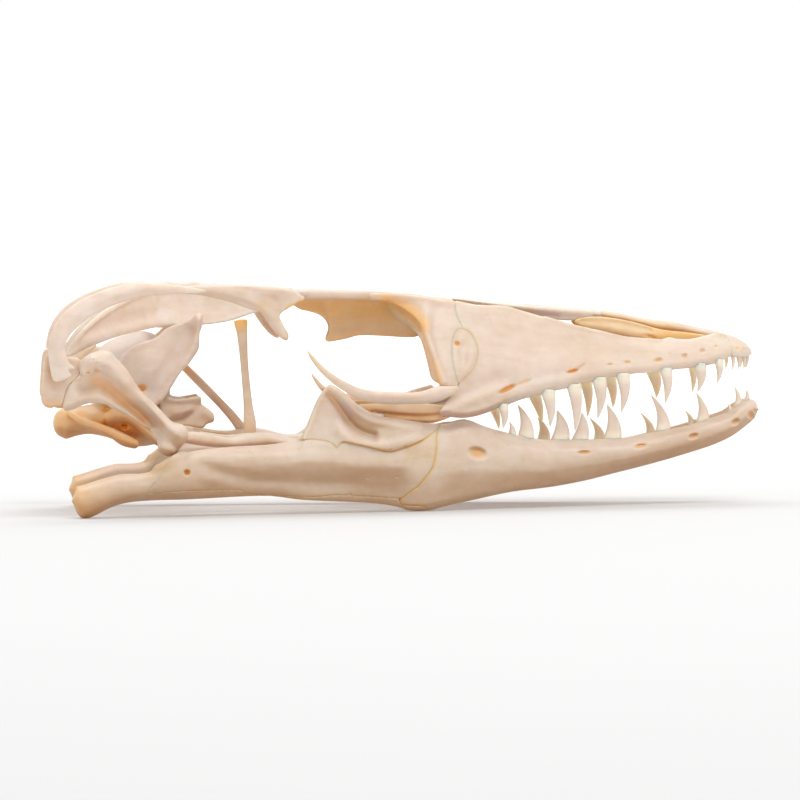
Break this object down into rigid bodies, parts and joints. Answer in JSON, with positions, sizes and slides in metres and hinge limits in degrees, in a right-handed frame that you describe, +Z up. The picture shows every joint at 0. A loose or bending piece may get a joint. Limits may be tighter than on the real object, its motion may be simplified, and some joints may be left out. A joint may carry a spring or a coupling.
{
  "type": "monitor lizard skull",
  "caption": "Cleaned monitor lizard skull with its lower jaw slightly open, recurved teeth, open orbits and temporal arches, resting on the lower jaw.",
  "frame": {"origin": "centre of the footprint at the resting surface", "axes": "+X toward the snout, +Y toward the animal's left side, +Z up"},
  "size_m": [0.1434, 0.0598, 0.0451],
  "materials": {
    "bone": "smooth bleached bone, slightly translucent, satin",
    "bone_with_teeth": "bleached bone with glossy tooth crowns"
  },
  "bodies": {
    "root": {"premaxilla": "bone_with_teeth", "nasal": "bone", "parietal": "bone", "braincase": "bone", "maxilla_r": "bone_with_teeth", "maxilla_l": "bone_with_teeth", "septomaxilla_r": "bone", "septomaxilla_l": "bone", "frontal_r": "bone", "frontal_l": "bone", "prefrontal_r": "bone", "prefrontal_l": "bone", "lacrimal_r": "bone", "lacrimal_l": "bone", "jugal_r": "bone", "jugal_l": "bone", "postorbitofrontal_r": "bone", "postorbitofrontal_l": "bone", "squamosal_r": "bone", "squamosal_l": "bone", "supratemporal_r": "bone", "supratemporal_l": "bone", "quadrate_r": "bone", "quadrate_l": "bone", "pterygoid_r": "bone", "pterygoid_l": "bone", "epipterygoid_r": "bone", "epipterygoid_l": "bone", "ectopterygoid_r": "bone", "ectopterygoid_l": "bone", "palatine_r": "bone", "palatine_l": "bone", "vomer_r": "bone", "vomer_l": "bone", "dentary_r": "bone_with_teeth", "dentary_l": "bone_with_teeth", "splenial_r": "bone", "splenial_l": "bone", "coronoid_r": "bone", "coronoid_l": "bone", "surangular_r": "bone", "surangular_l": "bone", "angular_r": "bone", "angular_l": "bone", "articular_r": "bone", "articular_l": "bone"}
  },
  "joints": []
}
